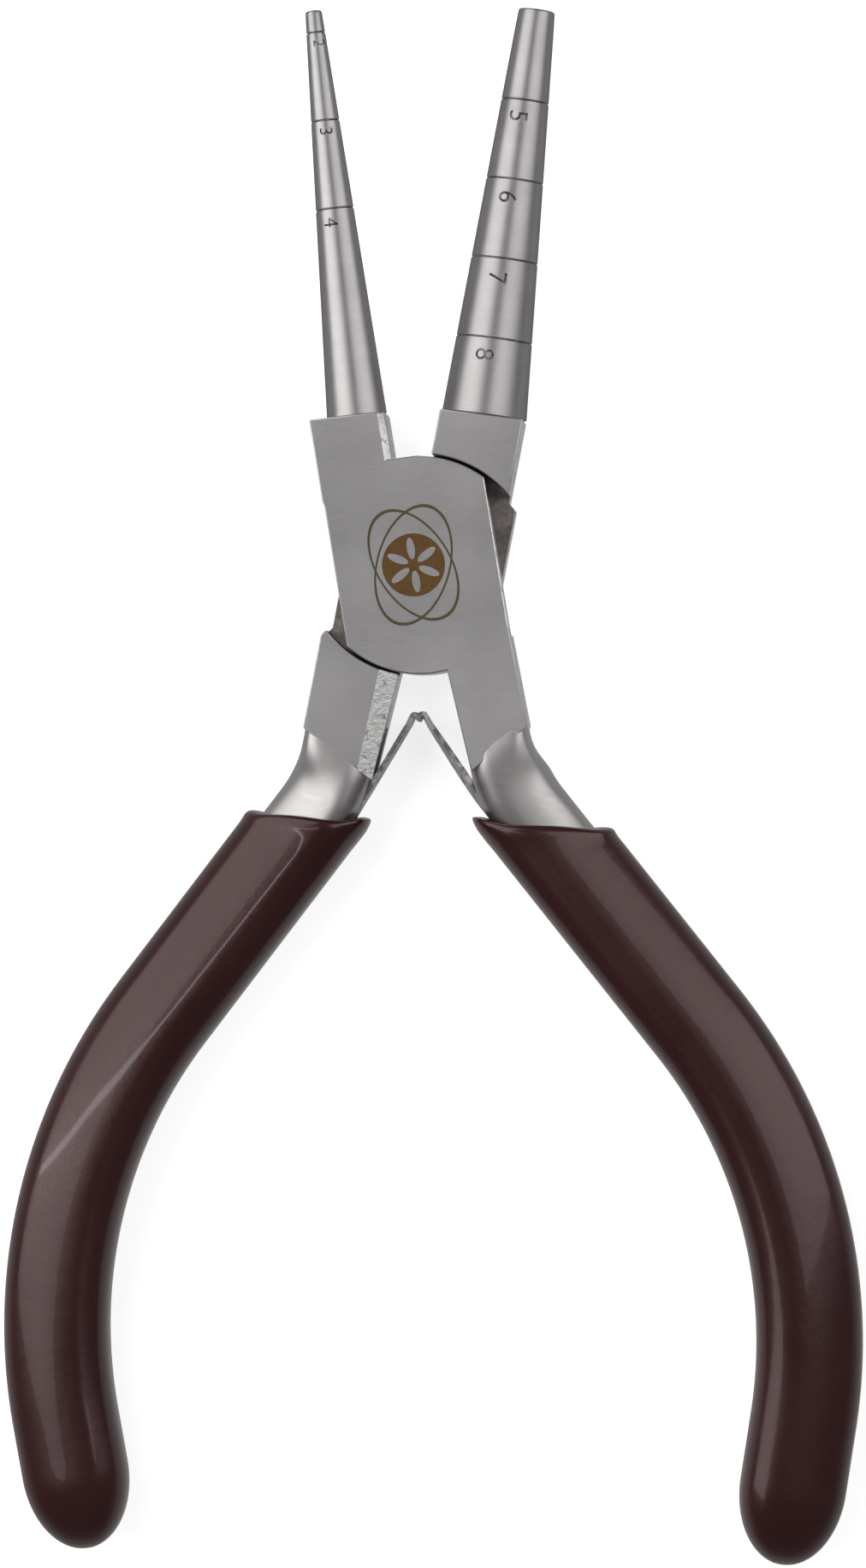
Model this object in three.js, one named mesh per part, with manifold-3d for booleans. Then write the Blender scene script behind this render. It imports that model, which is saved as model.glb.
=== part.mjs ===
// Round nose pliers with graduated jaws, in millimetres.
//
// Two steel halves cross in a lap joint and turn on one flush rivet. Each half carries a turned
// mandrel at its nose and a dipped grip on its tang, and a leaf spring riveted to each tang pushes
// the handles apart. The origin is on the rivet's axis, in the joint's back face. +Y runs to the
// nose, +Z out of the front face. Each half is drawn as it lies with the jaws closed, and is then
// turned open about the rivet. "Out" is the distance from the rivet towards a half's own jaw side,
// so its jaw has a positive out and its handle a negative one.

import * as THREE from 'three';
import { mergeVertices } from 'three/addons/utils/BufferGeometryUtils.js';
import Module from 'manifold-3d';

const wasm = await Module();
wasm.setup();

const DEG = Math.PI / 180;

// Joint
const JOINT_THICKNESS = 9.4;
const LAP_GAP = 0.1;
const BLOCK_STEP = 0.6;
const PLATE_RADIUS = 11.4;
const SHOULDER_GAP = 0.25;
const CLOSED_JAW_X = -1.0;
const CLOSED_JAW_GAP = 0.1;

// Rivet through the joint
const RIVET_RADIUS = 2.6;
const RIVET_HEAD_RADIUS = 3.8;
const RIVET_HEAD_DEPTH = 1.2;
const RIVET_CLEARANCE = 0.06;

// Mandrels
const MANDREL_LENGTH = 43;
const MANDREL_SEAT_Y = 16.5;
const MANDREL_SEAT_GAP = 0.05;
const SPIGOT_LENGTH = 3.6;
const SPIGOT_CLEARANCE = 0.05;
const MARK_WIDTH = 0.28;
const MARK_DEPTH = 0.12;
const TIP_ROUND = 0.25;

// Shank and tang, one rounded bar that runs from the neck to near the grip's end
const TANG_WIDTH = 8.4;
const TANG_THICKNESS = 7.2;
const TANG_ROUND = 2.3;
const SHANK_THICKNESS = 10;
const SHANK_LENGTH = 13;
const NECK_BEND_RADIUS = 14;
const TANG_START_Y = -16.5;
const NECK_STEP = 1;

// Dipped grip
const GRIP_WALL = 1.4;
const GRIP_ROUND = 3.9;
const GRIP_CLEARANCE = 0.15;
const GRIP_END_WALL = 3;
const GRIP_END_ROUND = 8.3;

// Leaf springs
const LEAF_THICKNESS = 0.45;
const LEAF_WIDTH = 5;
const LEAF_GAP = 0.1;
const LEAF_FOOT_LENGTH = 8;
const LEAF_SEAT_DEPTH = 0.5;
const LEAF_TIP_RADIUS = 0.3;
const LEAF_MEET_X = -0.25;
const LEAF_MEET_Y = -15.9;
const LEAF_CLOSED_X = 0.5;
const LEAF_GROOVE_LENGTH = 11;
const LEAF_RIVET_RADIUS = 0.9;
const LEAF_RIVET_LENGTH = 3;
const LEAF_RIVET_HEAD_RADIUS = 1.7;
const LEAF_RIVET_HEAD_HEIGHT = 0.4;
const LEAF_RIVET_OFFSET = 4.5;
const LEAF_RIVET_CLEARANCE = 0.05;

// Steps along a swept bar, and facets round a turned piece.
const BAR_STEPS = 18;
const ROUND_FACETS = 32;

// How far a cutting shape runs past the face it opens.
const OVERCUT = 1;

const MID_Z = JOINT_THICKNESS / 2;
const GRIP_WIDTH = TANG_WIDTH + 2 * GRIP_WALL;
const GRIP_THICKNESS = TANG_THICKNESS + 2 * GRIP_WALL;
const SHOULDER_RADIUS = PLATE_RADIUS + SHOULDER_GAP;

// The half whose plate is in front: its jaw is on the left and its handle on the right.
const front = {
  side: -1,
  open: 9.2 * DEG,
  layer: 1,
  contact: -CLOSED_JAW_X,
  blockOut: 9.0,
  blockEndY: 8.2,
  plateOut: 8.85,
  plateIn: 8.15,
  neckOutTop: 8.2,
  neckOut: 8.5,
  tangOut: 5.4,
  neckIn: 1.1,
  neckInLow: 1.9,
  neckEndY: -18.5,
  bendY: -24.1,
  handleAngle: 29.3 * DEG,
  archStartY: -52,
  archRadius: 53.7,
  archTurn: 47.3 * DEG,
  endLength: 9.8,
  gripTopY: -29,
  gripTopTilt: 11 * DEG,
  leafFootY: -27.6,
  mandrel: { tip: 0.875, base: 3.175, spigot: 2.1, marks: [1, 1.5, 2] },
};

// The half behind it, with the larger mandrel and the left handle.
const back = {
  side: 1,
  open: -10.8 * DEG,
  layer: -1,
  contact: CLOSED_JAW_X,
  blockOut: 7.8,
  blockEndY: 8.2,
  plateOut: 8.6,
  plateIn: 8.05,
  neckOutTop: 8.8,
  neckOut: 8.8,
  tangOut: 4.775,
  neckIn: 0.1,
  neckInLow: 0.75,
  neckEndY: -19,
  bendY: -24.4,
  handleAngle: 26.5 * DEG,
  archStartY: -51.1,
  archRadius: 54.7,
  archTurn: 47.5 * DEG,
  endLength: 8.5,
  gripTopY: -28.2,
  gripTopTilt: 4 * DEG,
  leafFootY: -26.7,
  mandrel: { tip: 1.925, base: 4.48, spigot: 3, marks: [2.5, 3, 3.5, 4] },
};

// ---------------------------------------------------------------- solids

function solid(geometry) {
  const bare = geometry.clone();
  bare.deleteAttribute('normal');
  bare.deleteAttribute('uv');
  const merged = mergeVertices(bare, 1e-4);
  return new wasm.Manifold(new wasm.Mesh({
    numProp: 3,
    vertProperties: new Float32Array(merged.attributes.position.array),
    triVerts: new Uint32Array(merged.index.array),
  }));
}

function geometryOf(manifold) {
  const mesh = manifold.getMesh();
  const geometry = new THREE.BufferGeometry();
  geometry.setAttribute('position', new THREE.BufferAttribute(mesh.vertProperties, 3));
  geometry.setIndex(new THREE.BufferAttribute(mesh.triVerts, 1));
  geometry.computeVertexNormals();
  return geometry;
}

// A lathe turned about Y, stood along Z or laid along a direction in the plan.
function lathe(profile, segments) {
  return new THREE.LatheGeometry(profile.map(([r, y]) => new THREE.Vector2(r, y)), segments);
}

// A cylinder whose axis starts at a plan point and runs in a plan direction, at mid thickness.
function planCylinder(radius, length, at, direction, segments = ROUND_FACETS) {
  const geometry = new THREE.CylinderGeometry(radius, radius, length, segments);
  return layAlong(geometry.translate(0, length / 2, 0), at, direction);
}

// Turns a shape drawn along +Y so that it starts at a plan point and runs in a plan direction.
function layAlong(geometry, at, direction) {
  geometry.rotateZ(Math.atan2(-direction.x, direction.y));
  return geometry.translate(at.x, at.y, MID_Z);
}

function roundedRectangle(width, height, round) {
  const x = width / 2 - round;
  const y = height / 2 - round;
  const shape = new THREE.Shape();
  shape.absarc(x, y, round, 0, Math.PI / 2);
  shape.absarc(-x, y, round, Math.PI / 2, Math.PI);
  shape.absarc(-x, -y, round, Math.PI, Math.PI * 1.5);
  shape.absarc(x, -y, round, Math.PI * 1.5, Math.PI * 2);
  return shape;
}

// A plate between two heights with the outline of the plan points.
function plate(points, low, high) {
  const geometry = new THREE.ExtrudeGeometry(new THREE.Shape(points), {
    depth: high - low,
    bevelEnabled: false,
  });
  return geometry.translate(0, 0, low);
}

// ---------------------------------------------------------------- handle line

// The middle line of a half's neck, shank and tang: straight down the neck, bent outwards, straight,
// arched back inwards and straight to the end. Distances along it are measured from its start.
class HandleLine extends THREE.Curve {
  constructor(half, from = 0, to = null) {
    super();
    const bend = NECK_BEND_RADIUS * Math.tan(half.handleAngle / 2);
    const slope = (half.bendY - half.archStartY) / Math.cos(half.handleAngle);
    this.side = half.side;
    this.startOut = -half.tangOut;
    this.stretches = [
      [TANG_START_Y - half.bendY - bend, 0],
      [NECK_BEND_RADIUS * half.handleAngle, half.handleAngle],
      [slope - bend, 0],
      [half.archRadius * half.archTurn, -half.archTurn],
      [half.endLength, 0],
    ];
    this.from = from;
    this.to = to ?? this.stretches.reduce((sum, [length]) => sum + length, 0);
  }

  // Place and heading at a distance along the line; the heading is measured from -Y, outwards.
  walk(distance) {
    let out = this.startOut;
    let y = TANG_START_Y;
    let heading = 0;
    let left = distance;
    for (const [index, [length, turn]] of this.stretches.entries()) {
      const last = index === this.stretches.length - 1;
      const part = last ? left : Math.min(left, length);
      if (turn === 0) {
        out -= part * Math.sin(heading);
        y -= part * Math.cos(heading);
      } else {
        const radius = length / turn;
        const next = heading + part / radius;
        out += radius * (Math.cos(next) - Math.cos(heading));
        y -= radius * (Math.sin(next) - Math.sin(heading));
        heading = next;
      }
      left -= part;
      if (left <= 0) break;
    }
    return { out, y, heading };
  }

  getPoint(t, target = new THREE.Vector3()) {
    const { out, y } = this.walk(this.from + t * (this.to - this.from));
    return target.set(this.side * out, y, MID_Z);
  }

  // The distance at which the line reaches a height on its way down.
  distanceAt(y) {
    let distance = 0;
    for (let step = 0; step < 30; step += 1) {
      const here = this.walk(distance);
      distance += (here.y - y) / Math.cos(here.heading);
    }
    return distance;
  }

  // A plan point beside the line, towards the other handle, with the directions there.
  beside(distance, offset) {
    const { out, y, heading } = this.walk(distance);
    const along = new THREE.Vector2(-this.side * Math.sin(heading), -Math.cos(heading));
    const inward = new THREE.Vector2(this.side * Math.cos(heading), -Math.sin(heading));
    const point = new THREE.Vector2(this.side * out, y).addScaledVector(inward, offset);
    return { point, along, inward };
  }
}

function sweep(section, line, steps) {
  return new THREE.ExtrudeGeometry(section, { steps, curveSegments: 3, extrudePath: line });
}

// ---------------------------------------------------------------- steel halves

// Points on a circle about the rivet, from one out to another, above or below it.
function arcAcross(radius, fromOut, toOut, up, count = 12) {
  const start = Math.acos(fromOut / radius);
  const end = Math.acos(toOut / radius);
  return Array.from({ length: count + 1 }, (_, i) => {
    const angle = start + ((end - start) * i) / count;
    return [radius * Math.cos(angle), up * radius * Math.sin(angle)];
  });
}

function jawInner(half) {
  return half.contact + CLOSED_JAW_GAP / 2;
}

// The axis of a half's mandrel: its inner side is upright when the jaws are closed.
function mandrelAxis(half) {
  const { tip, base } = half.mandrel;
  const tilt = Math.asin((base - tip) / MANDREL_LENGTH);
  const direction = new THREE.Vector2(-half.side * Math.sin(tilt), Math.cos(tilt));
  const out = jawInner(half) + base * Math.cos(tilt);
  const seat = new THREE.Vector2(half.side * out, MANDREL_SEAT_Y + base * Math.sin(tilt));
  return { seat, direction, tilt };
}

function halfOutline(half) {
  const inner = jawInner(half);
  const { tilt } = mandrelAxis(half);
  const blockTop = MANDREL_SEAT_Y - MANDREL_SEAT_GAP;
  const neckTopY = -Math.sqrt(PLATE_RADIUS ** 2 - half.plateIn ** 2);
  const neckEndDrop = (half.neckOut - half.neckInLow) * Math.tan(half.handleAngle);
  const points = [
    [inner, blockTop],
    [half.blockOut, blockTop + (half.blockOut - inner) * Math.tan(tilt)],
    [half.blockOut, half.blockEndY],
    [half.plateOut, half.blockEndY - BLOCK_STEP],
    ...arcAcross(PLATE_RADIUS, half.plateOut, -half.neckIn, -1),
    [-half.neckInLow, half.neckEndY - neckEndDrop],
    [-half.neckOut, half.neckEndY],
    [-half.neckOutTop, neckTopY - NECK_STEP],
    [-half.plateIn, neckTopY],
    ...arcAcross(PLATE_RADIUS, -half.plateIn, inner, 1),
  ];
  return points.map(([out, y]) => new THREE.Vector2(half.side * out, y));
}

function steelHalf(half) {
  const line = new HandleLine(half);
  const tangEnd = line.to - GRIP_END_WALL;
  const tangSection = roundedRectangle(TANG_THICKNESS, TANG_WIDTH, TANG_ROUND);
  let body = solid(plate(halfOutline(half), 0, JOINT_THICKNESS));
  body = body.add(solid(sweep(tangSection, new HandleLine(half, 0, tangEnd), BAR_STEPS)));
  body = body.add(solid(shankCrown(half, line)));
  body = body.subtract(solid(lapRelief(half)));
  body = body.subtract(solid(rivetShape(RIVET_CLEARANCE)));
  const { seat, direction } = mandrelAxis(half);
  const holeStart = seat.clone().addScaledVector(direction, OVERCUT);
  const holeLength = SPIGOT_LENGTH + SPIGOT_CLEARANCE * 2 + OVERCUT;
  const hole = half.mandrel.spigot + SPIGOT_CLEARANCE;
  body = body.subtract(solid(planCylinder(hole, holeLength, holeStart, direction.clone().negate())));
  body = body.subtract(solid(leafSeat(half, line)));
  body = body.subtract(solid(leafRivetHole(half, line)));
  return geometryOf(body);
}

// The round crown where the milled neck runs out into the bar.
function shankCrown(half, line, clearance = 0) {
  const distance = line.distanceAt(half.bendY);
  const { point } = line.beside(distance, 0);
  const crown = new THREE.SphereGeometry(1, 20, 12).scale(
    TANG_WIDTH / 2 + clearance,
    SHANK_LENGTH / 2 + clearance,
    SHANK_THICKNESS / 2 + clearance,
  );
  crown.rotateZ(half.side * -line.walk(distance).heading);
  return crown.translate(point.x, point.y, MID_Z);
}

// What is milled off a half so that the other half's plate lies over or under its own.
function lapRelief(half) {
  const height = MID_Z + LAP_GAP / 2 + OVERCUT;
  const relief = new THREE.CylinderGeometry(SHOULDER_RADIUS, SHOULDER_RADIUS, height, 2 * ROUND_FACETS);
  const middle = half.layer > 0
    ? MID_Z + LAP_GAP / 2 - height / 2
    : MID_Z - LAP_GAP / 2 + height / 2;
  return relief.rotateX(Math.PI / 2).translate(0, 0, middle);
}

// The joint's rivet, headed into a countersink at each face, or the hole it runs in.
function rivetShape(clearance) {
  const end = clearance > 0 ? OVERCUT : 0;
  const shaft = RIVET_RADIUS + clearance;
  const head = RIVET_HEAD_RADIUS + clearance;
  const profile = [
    [0, -end],
    [head, -end],
    [head, 0],
    [shaft, RIVET_HEAD_DEPTH],
    [shaft, JOINT_THICKNESS - RIVET_HEAD_DEPTH],
    [head, JOINT_THICKNESS],
    [head, JOINT_THICKNESS + end],
    [0, JOINT_THICKNESS + end],
  ];
  const kept = end > 0 ? profile : profile.filter((_, i) => i !== 1 && i !== 6);
  return lathe(kept, ROUND_FACETS).rotateX(Math.PI / 2);
}

// ---------------------------------------------------------------- mandrels

// A turned cone with a shallow ring cut at each marked radius and a spigot below its base.
function mandrel(half) {
  const { tip, base, spigot, marks } = half.mandrel;
  const radiusAt = (y) => base + ((tip - base) * y) / MANDREL_LENGTH;
  const rings = [...marks].reverse().flatMap((radius) => {
    const y = (MANDREL_LENGTH * (base - radius)) / (base - tip);
    return [
      [radiusAt(y - MARK_WIDTH / 2), y - MARK_WIDTH / 2],
      [radiusAt(y) - MARK_DEPTH, y],
      [radiusAt(y + MARK_WIDTH / 2), y + MARK_WIDTH / 2],
    ];
  });
  const profile = [
    [0, -SPIGOT_LENGTH],
    [spigot, -SPIGOT_LENGTH],
    [spigot, 0],
    [base, 0],
    ...rings,
    [radiusAt(MANDREL_LENGTH - TIP_ROUND), MANDREL_LENGTH - TIP_ROUND],
    [tip - TIP_ROUND, MANDREL_LENGTH],
    [0, MANDREL_LENGTH],
  ];
  const { seat, direction } = mandrelAxis(half);
  return layAlong(lathe(profile, ROUND_FACETS), seat, direction);
}

// ---------------------------------------------------------------- grips

function grip(half) {
  const line = new HandleLine(half);
  const top = line.distanceAt(half.gripTopY);
  const { point } = line.beside(top, 0);
  const outerSection = roundedRectangle(GRIP_THICKNESS, GRIP_WIDTH, GRIP_ROUND);
  const skirt = GRIP_WIDTH / 2;
  const roundStart = line.to + GRIP_WIDTH / 2 - GRIP_END_ROUND;
  let body = solid(sweep(outerSection, new HandleLine(half, top - skirt, roundStart), BAR_STEPS));
  const end = line.beside(roundStart, 0);
  const dome = new THREE.SphereGeometry(1, 20, 12).scale(GRIP_WIDTH / 2, GRIP_END_ROUND, GRIP_THICKNESS / 2);
  dome.rotateZ(Math.atan2(-end.along.x, end.along.y));
  body = body.add(solid(dome.translate(end.point.x, end.point.y, MID_Z)));
  const block = 4 * GRIP_WIDTH;
  const above = new THREE.BoxGeometry(block, block, block).translate(0, block / 2, 0);
  above.rotateZ(half.side * half.gripTopTilt);
  body = body.subtract(solid(above.translate(point.x, point.y, MID_Z)));
  const hollow = roundedRectangle(
    TANG_THICKNESS + 2 * GRIP_CLEARANCE,
    TANG_WIDTH + 2 * GRIP_CLEARANCE,
    TANG_ROUND + GRIP_CLEARANCE,
  );
  const hollowLine = new HandleLine(half, top - 2 * skirt, line.to - GRIP_END_WALL + GRIP_CLEARANCE);
  body = body.subtract(solid(sweep(hollow, hollowLine, BAR_STEPS)));
  body = body.subtract(solid(shankCrown(half, line, GRIP_CLEARANCE)));
  body = body.subtract(solid(leafPocket(half, line)));
  return geometryOf(body);
}

// ---------------------------------------------------------------- leaf springs

// A box on the bar's inner side, from one distance along the handle line to another and between
// two offsets from it.
function boxBeside(line, from, to, low, high, width) {
  const middle = line.beside((from + to) / 2, (low + high) / 2);
  const box = new THREE.BoxGeometry(high - low, to - from, width);
  return layAlong(box, middle.point, middle.along.clone().negate());
}

function leafFoot(half, line) {
  const start = line.distanceAt(half.leafFootY);
  const offset = TANG_WIDTH / 2 - LEAF_SEAT_DEPTH + LEAF_GAP + LEAF_THICKNESS / 2;
  return { start, offset };
}

// The flat for the foot, and the shallow groove above it that the blade folds into.
function leafSeat(half, line) {
  const { start, offset } = leafFoot(half, line);
  const under = -LEAF_THICKNESS / 2 - LEAF_GAP;
  const foot = line.beside(start + LEAF_FOOT_LENGTH + LEAF_GAP, offset + under);
  const bend = line.beside(start, offset + under);
  const closed = leafClosedTip(half, line).sub(line.beside(start, offset).point).normalize();
  const grooveEnd = bend.point.clone().addScaledVector(closed, LEAF_GROOVE_LENGTH);
  const clear = bend.inward.clone().multiplyScalar(LEAF_GROOVE_LENGTH);
  const outline = [
    foot.point,
    bend.point,
    grooveEnd,
    grooveEnd.clone().add(clear),
    foot.point.clone().add(clear),
  ];
  const width = LEAF_WIDTH + 2 * LEAF_GAP;
  return plate(outline, MID_Z - width / 2, MID_Z + width / 2);
}

// Room inside the grip's wall for the spring's foot and the head of its rivet.
function leafPocket(half, line) {
  const { start, offset } = leafFoot(half, line);
  const high = offset + LEAF_THICKNESS / 2 + LEAF_RIVET_HEAD_HEIGHT + 2 * LEAF_GAP;
  const from = start - 4 * OVERCUT;
  const to = start + LEAF_FOOT_LENGTH + LEAF_GAP;
  return boxBeside(line, from, to, offset - LEAF_THICKNESS, high, LEAF_WIDTH + 2 * LEAF_GAP);
}

function leafRivetPlace(half, line) {
  const { start, offset } = leafFoot(half, line);
  return { ...line.beside(start + LEAF_RIVET_OFFSET, 0), under: offset + LEAF_THICKNESS / 2 };
}

function leafRivetHole(half, line) {
  const { point, inward, under } = leafRivetPlace(half, line);
  const length = LEAF_RIVET_LENGTH + LEAF_GAP + OVERCUT;
  const start = point.clone().addScaledVector(inward, under - LEAF_RIVET_LENGTH - LEAF_GAP);
  return planCylinder(LEAF_RIVET_RADIUS + LEAF_RIVET_CLEARANCE, length, start, inward, 16);
}

function leafRivet(half) {
  const { point, inward, under } = leafRivetPlace(half, new HandleLine(half));
  const profile = [
    [0, -LEAF_RIVET_LENGTH],
    [LEAF_RIVET_RADIUS, -LEAF_RIVET_LENGTH],
    [LEAF_RIVET_RADIUS, LEAF_RIVET_CLEARANCE],
    [LEAF_RIVET_HEAD_RADIUS, LEAF_RIVET_CLEARANCE],
    [LEAF_RIVET_HEAD_RADIUS * 0.8, LEAF_RIVET_CLEARANCE + LEAF_RIVET_HEAD_HEIGHT],
    [0, LEAF_RIVET_CLEARANCE + LEAF_RIVET_HEAD_HEIGHT],
  ];
  return layAlong(lathe(profile, 16), point.clone().addScaledVector(inward, under), inward);
}

// The place where this half's leaf ends, in its own closed frame: the two rounded tips meet on
// the line between the open handles.
function leafTip(half) {
  const toOwnSide = -half.side * (LEAF_TIP_RADIUS + LEAF_GAP / 2);
  const meet = new THREE.Vector2(LEAF_MEET_X + toOwnSide, LEAF_MEET_Y);
  return meet.rotateAround(new THREE.Vector2(), -half.open);
}

// The same tip when the jaws are closed and both blades lie between the necks.
function leafClosedTip(half, line) {
  const { start, offset } = leafFoot(half, line);
  const bend = line.beside(start, offset).point;
  const length = leafTip(half).distanceTo(bend);
  const x = LEAF_CLOSED_X - half.side * (LEAF_TIP_RADIUS + LEAF_GAP / 2);
  return new THREE.Vector2(x, bend.y + Math.sqrt(length ** 2 - (x - bend.x) ** 2));
}

// One strip: a foot flat on the tang, a straight blade and a rounded tip.
function leafSpring(half) {
  const line = new HandleLine(half);
  const { start, offset } = leafFoot(half, line);
  const bend = line.beside(start, offset);
  const foot = line.beside(start + LEAF_FOOT_LENGTH, offset);
  const tip = leafTip(half);
  const strip = (from, to) => {
    const length = to.distanceTo(from);
    const box = new THREE.BoxGeometry(LEAF_THICKNESS, length, LEAF_WIDTH).translate(0, length / 2, 0);
    return solid(layAlong(box, from, to.clone().sub(from)));
  };
  const rod = (radius, at) => {
    const geometry = new THREE.CylinderGeometry(radius, radius, LEAF_WIDTH, 16);
    return solid(geometry.rotateX(Math.PI / 2).translate(at.x, at.y, MID_Z));
  };
  let body = strip(foot.point, bend.point).add(strip(bend.point, tip));
  body = body.add(rod(LEAF_THICKNESS / 2, bend.point)).add(rod(LEAF_TIP_RADIUS, tip));
  const { point, inward, under } = leafRivetPlace(half, line);
  const holeStart = point.clone().addScaledVector(inward, under - OVERCUT);
  const hole = planCylinder(LEAF_RIVET_RADIUS + LEAF_RIVET_CLEARANCE, 2 * OVERCUT, holeStart, inward, 16);
  return geometryOf(body.subtract(solid(hole)));
}

// ---------------------------------------------------------------- assembly

const steel = { color: 0x8f8e90, metalness: 1, roughness: 0.38 };
const turnedSteel = { color: 0xa8a4a4, metalness: 1, roughness: 0.3 };
const springSteel = { color: 0x6a6462, metalness: 1, roughness: 0.4 };
const vinyl = { color: 0x3c2020, metalness: 0, roughness: 0.25 };

function part(name, geometry, finish) {
  const mesh = new THREE.Mesh(geometry, new THREE.MeshStandardMaterial(finish));
  mesh.name = name;
  return mesh;
}

function halfGroup(half) {
  const opened = new THREE.Group();
  opened.rotation.z = half.open;
  return opened;
}

const frontGroup = halfGroup(front);
frontGroup.add(part('front_half', steelHalf(front), steel));
frontGroup.add(part('small_mandrel', mandrel(front), turnedSteel));
frontGroup.add(part('pivot_rivet', rivetShape(0), steel));
frontGroup.add(part('right_grip', grip(front), vinyl));
frontGroup.add(part('right_leaf_spring', leafSpring(front), springSteel));
frontGroup.add(part('right_spring_rivet', leafRivet(front), springSteel));

const backGroup = halfGroup(back);
backGroup.add(part('back_half', steelHalf(back), steel));
backGroup.add(part('large_mandrel', mandrel(back), turnedSteel));
backGroup.add(part('left_grip', grip(back), vinyl));
backGroup.add(part('left_leaf_spring', leafSpring(back), springSteel));
backGroup.add(part('left_spring_rivet', leafRivet(back), springSteel));

const group = new THREE.Group();
group.add(frontGroup, backGroup);

export default group;
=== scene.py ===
from math import acos, asin, atan2, cos, hypot, pi, radians, sin, sqrt, tan
from types import SimpleNamespace

import bmesh
import bpy
from mathutils import Matrix, Vector


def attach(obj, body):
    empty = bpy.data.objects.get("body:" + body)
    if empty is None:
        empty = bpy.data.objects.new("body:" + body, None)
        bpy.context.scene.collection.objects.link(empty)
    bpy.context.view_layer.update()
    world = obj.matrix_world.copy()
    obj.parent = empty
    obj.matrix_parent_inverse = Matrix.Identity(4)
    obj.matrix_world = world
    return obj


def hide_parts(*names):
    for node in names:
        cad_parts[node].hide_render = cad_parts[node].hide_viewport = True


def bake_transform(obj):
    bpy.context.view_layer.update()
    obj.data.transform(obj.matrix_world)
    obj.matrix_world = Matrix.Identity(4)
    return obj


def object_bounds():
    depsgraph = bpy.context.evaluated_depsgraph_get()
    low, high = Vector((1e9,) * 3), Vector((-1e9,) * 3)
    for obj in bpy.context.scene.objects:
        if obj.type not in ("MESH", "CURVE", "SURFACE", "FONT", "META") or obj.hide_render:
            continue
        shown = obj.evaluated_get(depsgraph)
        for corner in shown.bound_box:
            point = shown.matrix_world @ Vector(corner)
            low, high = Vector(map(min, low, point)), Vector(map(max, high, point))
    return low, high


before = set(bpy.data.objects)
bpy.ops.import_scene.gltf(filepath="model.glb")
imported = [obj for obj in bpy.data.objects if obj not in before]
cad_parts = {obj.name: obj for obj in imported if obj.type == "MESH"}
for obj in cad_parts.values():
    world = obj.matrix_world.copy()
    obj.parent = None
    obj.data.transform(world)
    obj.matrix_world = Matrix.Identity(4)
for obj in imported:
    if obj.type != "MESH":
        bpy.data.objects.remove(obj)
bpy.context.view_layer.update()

# Round nose pliers. Pieces are drawn in millimetres as they lie with the jaws closed, then turned
# open about the rivet and scaled to metres. "Out" is the distance from the rivet towards a half's
# own jaw side, so a jaw has a positive out and a handle a negative one.

MM = 0.001

# ---------------------------------------------------------------- measures shared with the frame

JOINT_THICKNESS = 9.4
MID_Z = JOINT_THICKNESS / 2
LAP_GAP = 0.1
BLOCK_STEP = 0.6
NECK_STEP = 1.0
PLATE_RADIUS = 11.4
SHOULDER_RADIUS = 11.65
SHOULDER_SPREAD = 1.045
CLOSED_JAW_GAP = 0.1

RIVET_RADIUS = 2.6
RIVET_HEAD_RADIUS = 3.8
RIVET_HEAD_DEPTH = 1.2
RIVET_CLEARANCE = 0.06
RIVET_BLIND_Z = 9.15
RIVET_END_GAP = 0.05

MANDREL_LENGTH = 43.0
MANDREL_SEAT_Y = 16.5
MANDREL_SEAT_GAP = 0.05
SPIGOT_LENGTH = 3.6
MARK_WIDTH = 0.24
MARK_DEPTH = 0.1
TIP_ROUND = 0.25

TANG_WIDTH = 8.4
TANG_THICKNESS = 7.2
NECK_BEND_RADIUS = 14.0
TANG_START_Y = -16.5

GRIP_WALL = 1.4
GRIP_WIDTH = TANG_WIDTH + 2 * GRIP_WALL
GRIP_THICKNESS = TANG_THICKNESS + 2 * GRIP_WALL
GRIP_FULLNESS = 0.79
GRIP_LEAN = 0.16
GRIP_END_ROUND = 8.3
GRIP_CLEARANCE = 0.15
GRIP_END_WALL = 3.0

LEAF_THICKNESS = 0.45
LEAF_WIDTH = 5.0
LEAF_GAP = 0.1
LEAF_FOOT_LENGTH = 8.0
LEAF_SEAT_DEPTH = 0.5
LEAF_TIP_RADIUS = 0.3
LEAF_MEET = Vector((-0.25, -15.9))
LEAF_RIVET_OFFSET = 4.5
LEAF_GROOVE_LENGTH = 11
LEAF_CLOSED_X = 0.5

# Each numeral is its digit, its height, how far it lies below its ring, and its shift sideways.
front = SimpleNamespace(
    name="front", body="front_body", leaf_body="right_leaf", hand="right",
    side=-1, open=radians(9.2), layer=1, contact=1.0, block_out=9.0, block_end_y=8.2,
    plate_out=8.85, plate_in=8.15,
    neck_out_top=8.2, neck_out=8.5, neck_in=1.1, neck_in_low=1.9, neck_end_y=-18.5,
    tang_out=5.4, bend_y=-24.1, handle_angle=radians(29.3),
    arch_start_y=-52.0, arch_radius=53.7, arch_turn=radians(47.3), end_length=9.8,
    grip_top_y=-29.0, grip_top_tilt=radians(11),
    leaf_foot_y=-27.6, leaf_twist=radians(-9), crown_lead=2.0, shank_lean=0.12,
    tip=0.875, base=3.175, spigot=2.1, marks=(1.0, 1.5, 2.0),
    numerals=(("2", 1.15, 1.17, 0.2), ("3", 1.35, 1.2, 0.0), ("4", 1.5, 1.5, -0.5)),
)

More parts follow.
